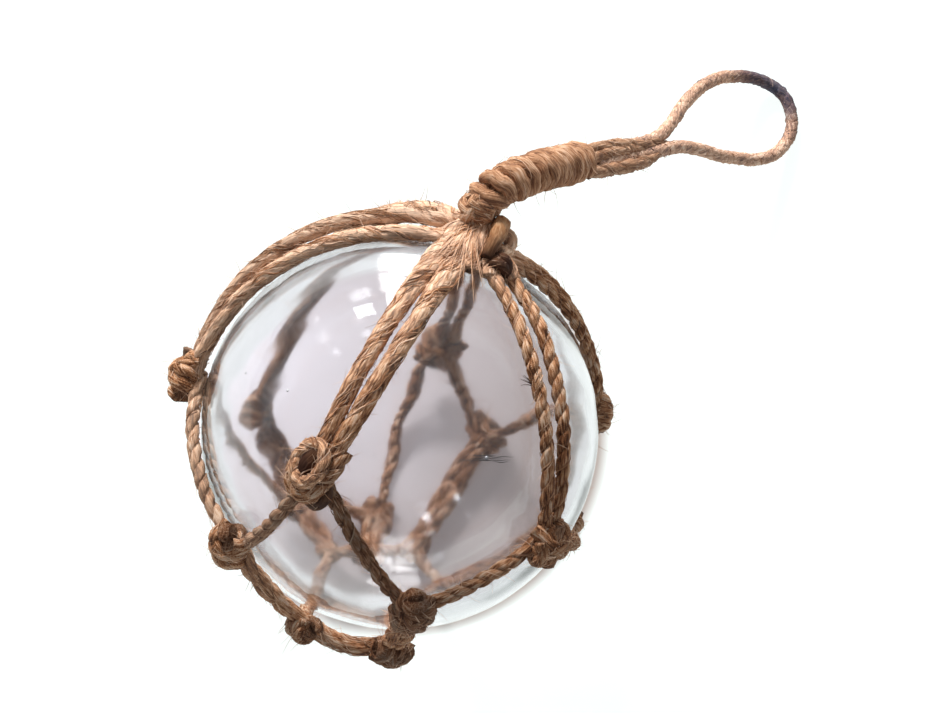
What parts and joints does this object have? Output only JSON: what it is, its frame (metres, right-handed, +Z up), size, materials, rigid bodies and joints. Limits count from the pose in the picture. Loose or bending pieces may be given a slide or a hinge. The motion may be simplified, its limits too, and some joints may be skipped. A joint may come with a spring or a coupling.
{
  "type": "glass fishing float",
  "caption": "Clear glass fishing float in a knotted jute net, lying on its side, with a gathered crown, a twine-wrapped neck and a hanging loop.",
  "frame": {"origin": "bottom centre of the box round everything but the hanging loop, on the plane that the float lies on", "axes": "+X horizontally towards the side that the crown and the neck point to, +Z up, as the float lies; the loop trails off towards +X and -Y"},
  "size_m": [0.208, 0.1179, 0.1065],
  "materials": {
    "clear_glass": "smooth, clear, blown",
    "jute": "rough two-ply twine",
    "dark_jute": "rough two-ply twine, darkened"
  },
  "bodies": {
    "root": {"glass_ball": "clear_glass", "crown_gather": "jute", "neck_ball_knot": "jute", "neck_wrapping": "jute", "hanging_loop": "jute", "upper_knot_1": "jute", "lower_knot_1": "jute", "ring_knot_1": "jute", "crown_twine_1a": "jute", "crown_twine_1b": "jute", "mesh_twine_1_left": "jute", "mesh_twine_1_right": "jute", "ring_tie_1": "jute", "ring_cord_1": "dark_jute", "upper_knot_2": "jute", "lower_knot_2": "jute", "ring_knot_2": "jute", "crown_twine_2a": "jute", "crown_twine_2b": "jute", "mesh_twine_2_left": "jute", "mesh_twine_2_right": "jute", "ring_tie_2": "jute", "ring_cord_2": "dark_jute", "upper_knot_3": "jute", "lower_knot_3": "jute", "ring_knot_3": "jute", "crown_twine_3a": "jute", "crown_twine_3b": "jute", "mesh_twine_3_left": "jute", "mesh_twine_3_right": "jute", "ring_tie_3": "jute", "ring_cord_3": "dark_jute", "upper_knot_4": "jute", "lower_knot_4": "jute", "ring_knot_4": "jute", "crown_twine_4a": "jute", "crown_twine_4b": "jute", "mesh_twine_4_left": "jute", "mesh_twine_4_right": "jute", "ring_tie_4": "jute", "ring_cord_4": "dark_jute", "upper_knot_5": "jute", "lower_knot_5": "jute", "ring_knot_5": "jute", "crown_twine_5a": "jute", "crown_twine_5b": "jute", "mesh_twine_5_left": "jute", "mesh_twine_5_right": "jute", "ring_tie_5": "jute", "ring_cord_5": "dark_jute", "upper_knot_6": "jute", "lower_knot_6": "jute", "ring_knot_6": "jute", "crown_twine_6a": "jute", "crown_twine_6b": "jute", "mesh_twine_6_left": "jute", "mesh_twine_6_right": "jute", "ring_tie_6": "jute", "ring_cord_6": "dark_jute"}
  },
  "joints": []
}
